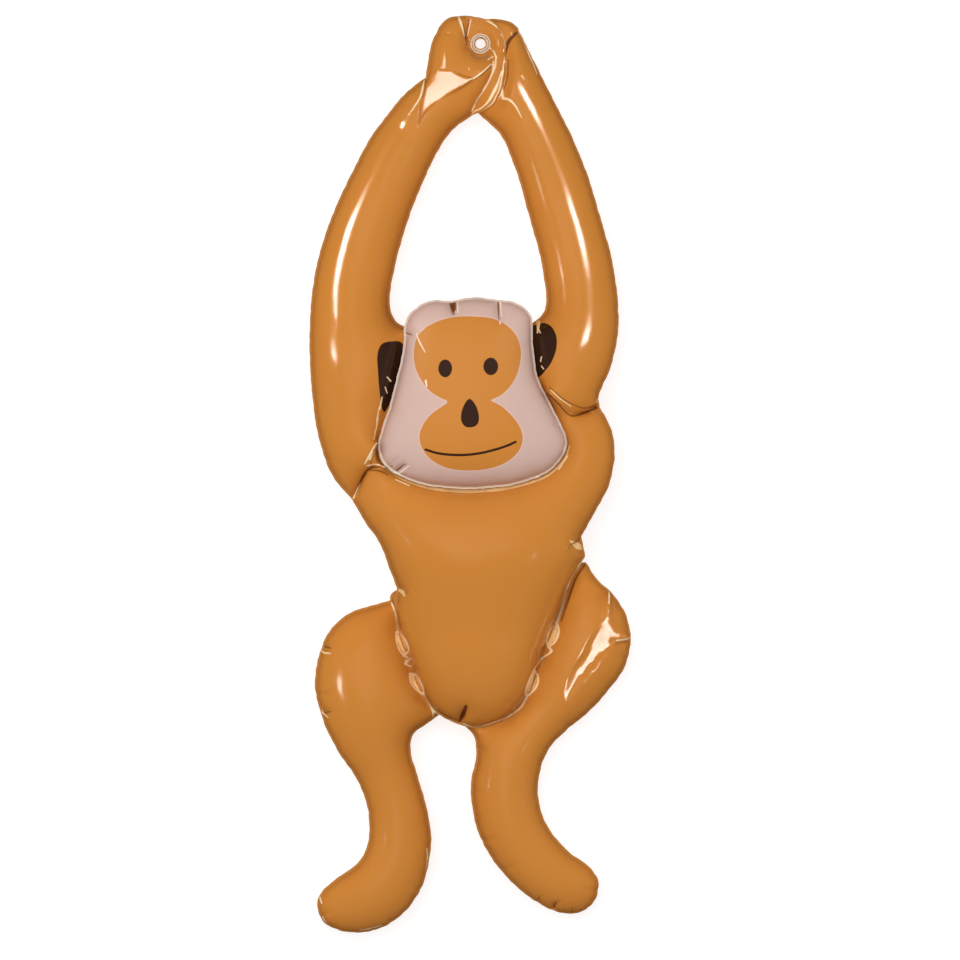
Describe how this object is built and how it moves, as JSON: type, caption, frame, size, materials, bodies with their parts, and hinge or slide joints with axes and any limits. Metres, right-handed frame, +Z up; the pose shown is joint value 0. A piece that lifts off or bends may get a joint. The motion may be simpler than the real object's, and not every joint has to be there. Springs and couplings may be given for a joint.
{
  "type": "inflatable hanging monkey",
  "caption": "Inflatable film monkey lying on its back, arms raised and hands joined at a clear hanging eyelet, with pillow head and bent legs.",
  "frame": {"origin": "middle of the bounding box at floor level, with the figure lying on its back", "axes": "+Y from the feet to the hands, +X to the right of someone looking down on the figure, +Z up from the floor towards its face"},
  "size_m": [0.2448, 0.6999, 0.0974],
  "materials": {
    "orange_film": "glossy air-filled film, welded seams",
    "pink_film": "satin air-filled film with a printed face",
    "clear_plastic": "clear moulded plastic"
  },
  "bodies": {
    "root": {"body": "orange_film", "legs": "orange_film", "head": "pink_film", "hand_eyelet": "clear_plastic"}
  },
  "joints": []
}
